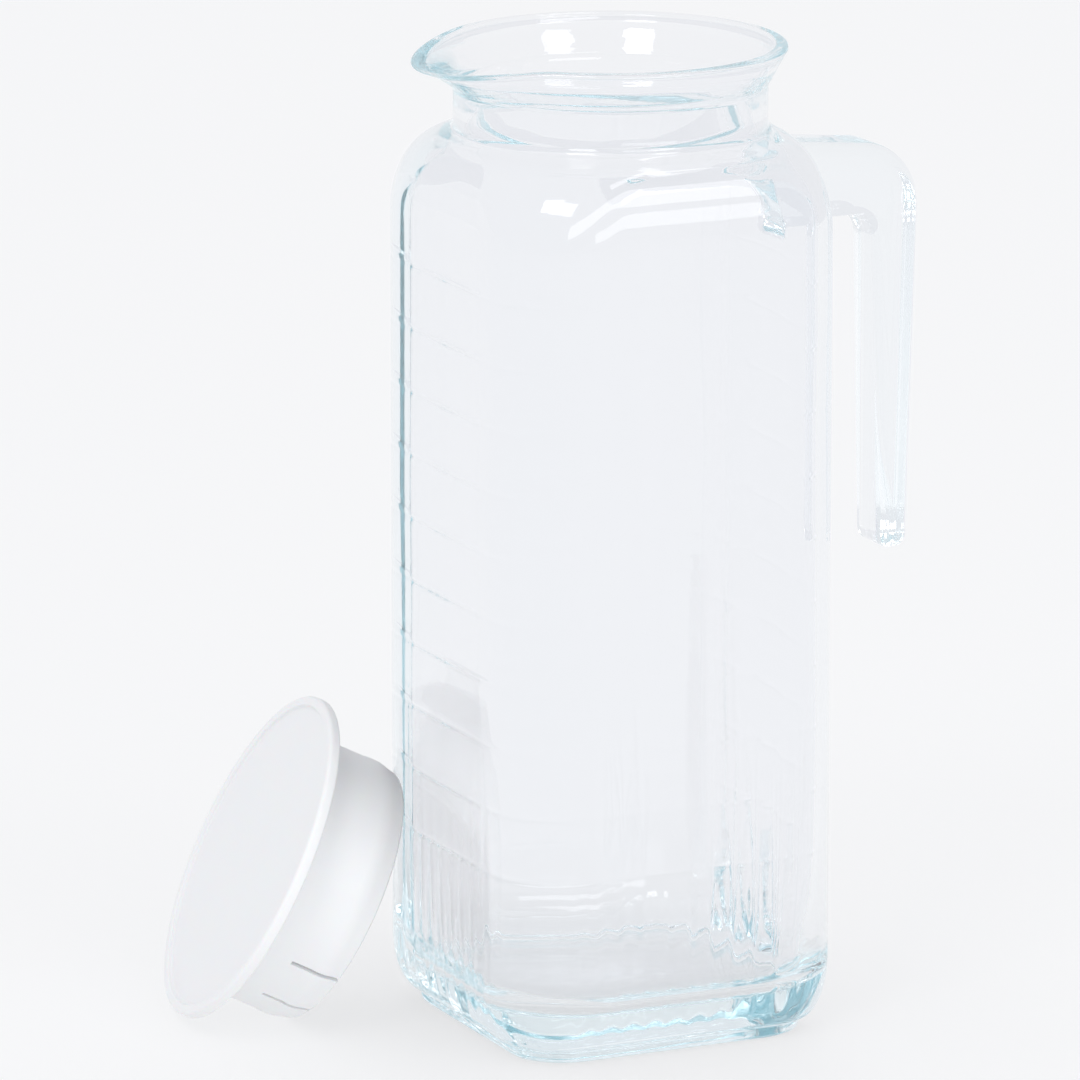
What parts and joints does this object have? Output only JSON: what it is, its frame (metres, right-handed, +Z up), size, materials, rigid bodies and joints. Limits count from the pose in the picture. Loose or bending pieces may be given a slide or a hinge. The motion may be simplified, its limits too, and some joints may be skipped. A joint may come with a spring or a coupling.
{
  "type": "lidded water jug",
  "caption": "Tall rounded-square clear glass jug with a flared pouring rim and an open-ended glass side handle; its round push-in plastic lid leans beside it.",
  "frame": {"origin": "centre of the flat foot, on the surface the jug stands on", "axes": "+Z up the jug; +X towards the handle; -X towards the spout; the lid leans on the spout side"},
  "size_m": [0.1923, 0.1269, 0.255],
  "materials": {
    "clear_glass": "clear fire-polished soda-lime glass with a faint blue-green tint in its edges",
    "white_plastic": "satin injection-moulded white polyethylene"
  },
  "bodies": {
    "jug": {"jug_body": "clear_glass", "handle": "clear_glass"},
    "lid": {"lid": "white_plastic"}
  },
  "joints": [
    {"name": "lid_lift", "type": "slide", "parent": "jug", "child": "lid", "axis": [-0.2211, 0.0414, 0.9744], "range_m": [0, 0.27]}
  ]
}
